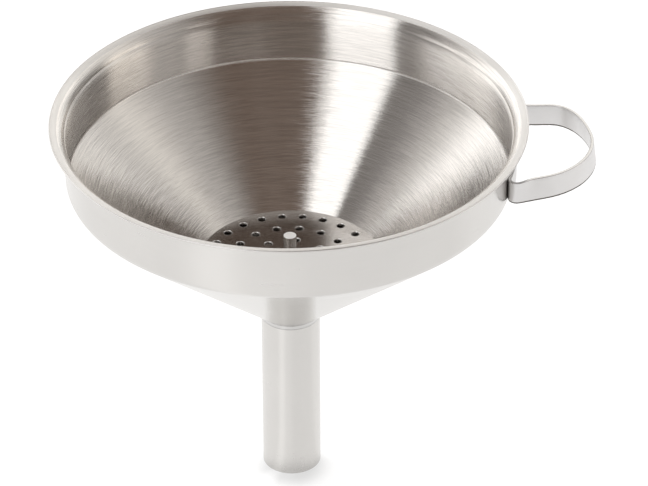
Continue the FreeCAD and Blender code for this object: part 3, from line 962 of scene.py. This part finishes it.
def make_floor():
    corners = [(-1, -1), (1, -1), (1, 1), (-1, 1)]
    mesh = bpy.data.meshes.new("studio_floor")
    mesh.from_pydata([(x * FLOOR_HALF, y * FLOOR_HALF, 0) for x, y in corners], [], [(0, 1, 2, 3)])
    floor = bpy.data.objects.new("studio_floor", mesh)
    floor.location.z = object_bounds()[0].z - FLOOR_DROP
    bpy.context.scene.collection.objects.link(floor)
    material = bpy.data.materials.new("white_sweep")
    material.use_nodes = True
    paper = Graph(material.node_tree)
    paper.tree.nodes.clear()

    x, y, _ = paper.split(paper.place("Object"))
    # A painted shadow: the glow is dimmed round a point just before the spout's foot.
    from_shadow = paper.distance(x, paper.math("ADD", y, SHADOW_FORWARD))
    foot = paper.fade(from_shadow, SHADOW_FADE, (SHADOW_GLOW, 1.0))
    # Painted light and shade: sectors of the floor's glow raised or lowered by bearing.
    bearing = paper.math("ARCTAN2", y, x)
    lit_and_shaded = 1.0
    for come, go, change in FLOOR_LIGHT_AND_SHADE:
        for span, sign in ((come, 1), (go, -1)):
            ends = [math.radians(end) for end in span]
            lit_and_shaded = paper.math("ADD", paper.fade(bearing, ends, (0.0, sign * change)), lit_and_shaded)
    glow = paper.add("ShaderNodeEmission")
    strength = paper.math("MULTIPLY", paper.math("MULTIPLY", foot, lit_and_shaded), FLOOR_GLOW)
    paper.link(strength, glow.inputs["Strength"])
    scatter = paper.add("ShaderNodeBsdfDiffuse")
    scatter.inputs["Color"].default_value = (FLOOR_SCATTER, FLOOR_SCATTER, FLOOR_SCATTER, 1)
    both = paper.add("ShaderNodeAddShader")
    paper.link(glow.outputs[0], both.inputs[0])
    paper.link(scatter.outputs[0], both.inputs[1])
    paper.link(both.outputs[0], paper.add("ShaderNodeOutputMaterial").inputs["Surface"])
    mesh.materials.append(material)


# Panels over and before the funnel, a fan of bands that meets low behind it: bearing, tone.
# The panels are brighter towards their feet, so there is a ramp for high up and one for low down.
FAN_HIGH = (
    (8.0, (1.40, 1.39, 1.37)),
    (20.0, (1.05, 1.04, 1.02)),
    (30.0, (0.85, 0.84, 0.82)),
    (38.0, (0.68, 0.66, 0.64)),
    (45.0, (0.46, 0.44, 0.43)),
    (51.0, (0.30, 0.285, 0.275)),
    (59.3, (0.24, 0.225, 0.215)),
    (60.4, (0.26, 0.25, 0.24)),
    (61.3, (1.75, 1.75, 1.74)),
    (79.0, (1.70, 1.70, 1.69)),
    (80.0, (0.25, 0.21, 0.19)),
    (82.5, (0.20, 0.155, 0.13)),
    (97.2, (0.19, 0.145, 0.12)),
    (98.0, (0.33, 0.28, 0.25)),
    (98.8, (0.19, 0.145, 0.12)),
    (108.0, (0.185, 0.14, 0.115)),
    (113.0, (0.26, 0.23, 0.21)),
    (120.0, (0.46, 0.44, 0.42)),
    (121.0, (0.48, 0.46, 0.44)),
    (121.8, (0.66, 0.63, 0.60)),
    (122.6, (0.51, 0.49, 0.47)),
    (127.0, (0.58, 0.56, 0.54)),
    (133.0, (0.74, 0.71, 0.68)),
    (140.0, (0.98, 0.95, 0.90)),
    (158.0, (0.85, 0.83, 0.80)),
    (170.0, (0.50, 0.49, 0.47)),
)
FAN_LOW = (
    (8.0, (3.10, 3.06, 2.96)),
    (30.0, (2.30, 2.27, 2.22)),
    (44.0, (2.10, 2.08, 2.04)),
    (50.0, (1.60, 1.57, 1.53)),
    (55.0, (0.60, 0.58, 0.56)),
    (60.4, (0.50, 0.49, 0.48)),
    (61.3, (2.15, 2.15, 2.13)),
    (79.0, (2.15, 2.15, 2.13)),
    (80.0, (0.25, 0.22, 0.20)),
    (83.0, (0.12, 0.10, 0.085)),
    (97.2, (0.08, 0.065, 0.055)),
    (98.0, (0.20, 0.18, 0.16)),
    (98.8, (0.075, 0.062, 0.052)),
    (110.0, (0.05, 0.04, 0.033)),
    (111.5, (1.35, 1.28, 1.20)),
    (117.0, (1.35, 1.28, 1.20)),
    (119.0, (0.42, 0.39, 0.36)),
    (128.0, (0.50, 0.47, 0.44)),
    (132.0, (1.75, 1.63, 1.48)),
    (143.0, (1.85, 1.72, 1.56)),
    (146.0, (0.12, 0.11, 0.10)),
    (170.0, (0.08, 0.075, 0.07)),
)

# Where the fan meets, as x and y of a direction. That is a little right of the middle, so the
# bands are turned back by up to this many degrees, which keeps their far ends in place.
FAN_FOOT = (0.016, 0.854)
FAN_SHIFT = 0.62

# Surround behind the funnel, from left to right: the wall, what is over it, and what is low down.
WALL = (
    (-0.9, (1.70, 1.69, 1.67)),
    (-0.5, (1.80, 1.79, 1.77)),
    (-0.24, (1.60, 1.58, 1.54)),
    (-0.17, (0.24, 0.21, 0.19)),
    (0.007, (0.24, 0.21, 0.19)),
    (0.014, (1.95, 1.88, 1.74)),
    (0.3, (1.50, 1.46, 1.38)),
    (0.6, (1.50, 1.48, 1.44)),
    (0.75, (0.80, 0.78, 0.76)),
    (0.85, (0.22, 0.21, 0.20)),
)
CEILING = (
    (-0.8, (1.60, 1.59, 1.57)),
    (-0.4, (1.35, 1.34, 1.31)),
    (0.0, (1.15, 1.13, 1.10)),
    (0.5, (1.20, 1.18, 1.15)),
    (0.8, (0.80, 0.78, 0.76)),
)
HORIZON = (
    (-0.9, (1.60, 1.59, 1.57)),
    (0.0, (1.60, 1.59, 1.57)),
    (0.55, (1.30, 1.29, 1.27)),
    (0.75, (0.25, 0.24, 0.23)),
)

# How high each part of the surround gives way to the next, as z of a direction, and how far
# back the fan gives way to them, as y.
FAN_RISE = (0.10, 0.50)
HORIZON_RISE = (0.20, 0.40)
CEILING_RISE = (0.575, 0.625)
FAN_BACK = (0.25, 0.60)


def make_studio():
    world = bpy.data.worlds.new("studio")
    bpy.context.scene.world = world
    world.use_nodes = True
    sky = Graph(world.node_tree)
    sky.tree.nodes.clear()
    x, y, z = sky.split(sky.place("Generated"))

    foot_x, foot_y = FAN_FOOT
    bearing = sky.math("ARCTAN2", sky.math("SUBTRACT", foot_y, y), sky.math("SUBTRACT", foot_x, x))
    half_turns = sky.math("MULTIPLY", bearing, 1 / math.pi)
    across = sky.math("ADD", sky.math("MULTIPLY", x, 0.5), 0.5)

    def fan_tones(stops):
        turned = [(turn - FAN_SHIFT * math.sin(math.radians(turn)), tone) for turn, tone in stops]
        return sky.ramp(half_turns, turned, 0.0, 180.0)

    def wall_tones(stops):
        return sky.ramp(across, stops, -1.0, 1.0)

    fan = sky.mixed(sky.fade(z, FAN_RISE), fan_tones(FAN_LOW), fan_tones(FAN_HIGH))
    wall = sky.mixed(sky.fade(z, HORIZON_RISE), wall_tones(HORIZON), wall_tones(WALL))
    behind = sky.mixed(sky.fade(z, CEILING_RISE), wall, wall_tones(CEILING))
    background = sky.add("ShaderNodeBackground")
    sky.link(sky.mixed(sky.fade(y, FAN_BACK), fan, behind), background.inputs["Color"])
    sky.link(background.outputs[0], sky.add("ShaderNodeOutputWorld").inputs["Surface"])


# The camera's distance from the middle of the rim, its elevation and roll, its focal length in
# millimetres, and the place that it looks at.
CAMERA_DISTANCE = 1.06
CAMERA_ELEVATION = math.radians(31.33)
CAMERA_ROLL = -0.0034
LENS = 201.97
AIM = Vector((0.01013, 0.0, 0.07896))


def make_camera():
    data = bpy.data.cameras.new("camera")
    data.lens = LENS
    data.sensor_width = 36.0
    data.clip_start, data.clip_end = 0.01, 50.0
    camera = bpy.data.objects.new("camera", data)
    bpy.context.scene.collection.objects.link(camera)
    back = Vector((0, -math.cos(CAMERA_ELEVATION), math.sin(CAMERA_ELEVATION)))
    place = Vector((0, 0, RIM_HEIGHT)) + back * CAMERA_DISTANCE
    turn = (AIM - place).to_track_quat("-Z", "Y").to_matrix().to_4x4()
    camera.matrix_world = (
        Matrix.Translation(place) @ turn @ Matrix.Rotation(CAMERA_ROLL, 4, "Z")
    )
    bpy.context.scene.camera = camera


make_floor()
make_studio()
make_camera()
bpy.context.scene.view_settings.view_transform = "Standard"

for make, node, body in (
    (make_bowl, "bowl", "funnel"),
    (make_spout, "spout", "funnel"),
    (make_weld, "spout_weld", "funnel"),
    (make_strap, "handle_strap", "funnel"),
    (make_disc, "strainer_disc", "strainer"),
    (make_post, "strainer_post", "strainer"),
):
    piece = make()
    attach(piece, body)
    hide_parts(node)
